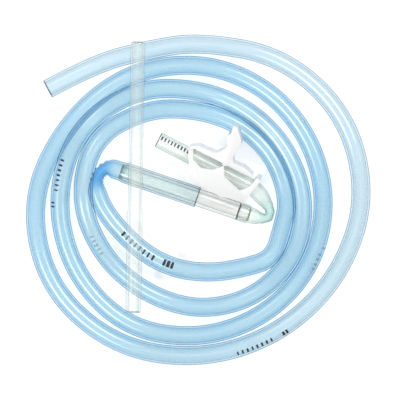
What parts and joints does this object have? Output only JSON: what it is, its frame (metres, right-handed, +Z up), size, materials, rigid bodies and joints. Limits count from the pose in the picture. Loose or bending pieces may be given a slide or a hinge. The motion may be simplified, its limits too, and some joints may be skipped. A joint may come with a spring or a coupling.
{
  "type": "gravel vacuum siphon",
  "caption": "Fish tank siphon, laid flat: a coiled clear hose, a coupling to a short outlet hose with a pinch clamp on it, and a loose rigid suction tube that fits the hose.",
  "frame": {"origin": "on the surface that everything lies on, under the middle of the common box of the suction tube, the coupling and the clamp", "axes": "+Z up off the surface; +Y along the suction tube, from its wider suction end towards the end that takes the hose; +X across it, from the coil's free cut end towards the clamp"},
  "size_m": [0.1821, 0.1747, 0.0231],
  "materials": {
    "clear_hose": "soft clear hose with a blue tint, glossy",
    "clear_outlet_hose": "soft clear hose with a faint green tint, glossy",
    "clear_rigid": "rigid water-clear tube, glossy",
    "white_plastic": "satin white moulding"
  },
  "bodies": {
    "hose_set": {"main_hose": "clear_hose", "coupling_tube": "clear_rigid", "outlet_hose": "clear_outlet_hose"},
    "suction_tube": {"suction_tube": "clear_rigid"},
    "clamp_base": {"clamp_base": "white_plastic"},
    "clamp_lever": {"clamp_lever": "white_plastic"}
  },
  "joints": [
    {"name": "tube_lift", "type": "slide", "parent": "hose_set", "child": "suction_tube", "axis": [0, 0, 1], "range_m": [0, 0.08]},
    {"name": "clamp_slide", "type": "slide", "parent": "hose_set", "child": "clamp_base", "axis": [-0.8926, 0.4509, 0], "range_m": [0, 0.018]},
    {"name": "lever_close", "type": "hinge", "parent": "clamp_base", "child": "clamp_lever", "pos_m": [0.00116, 0.01638, 0.00994], "axis": [0.1167, 0.231, -0.9659], "range_deg": [0, 18], "deforming": ["outlet_hose"]}
  ]
}
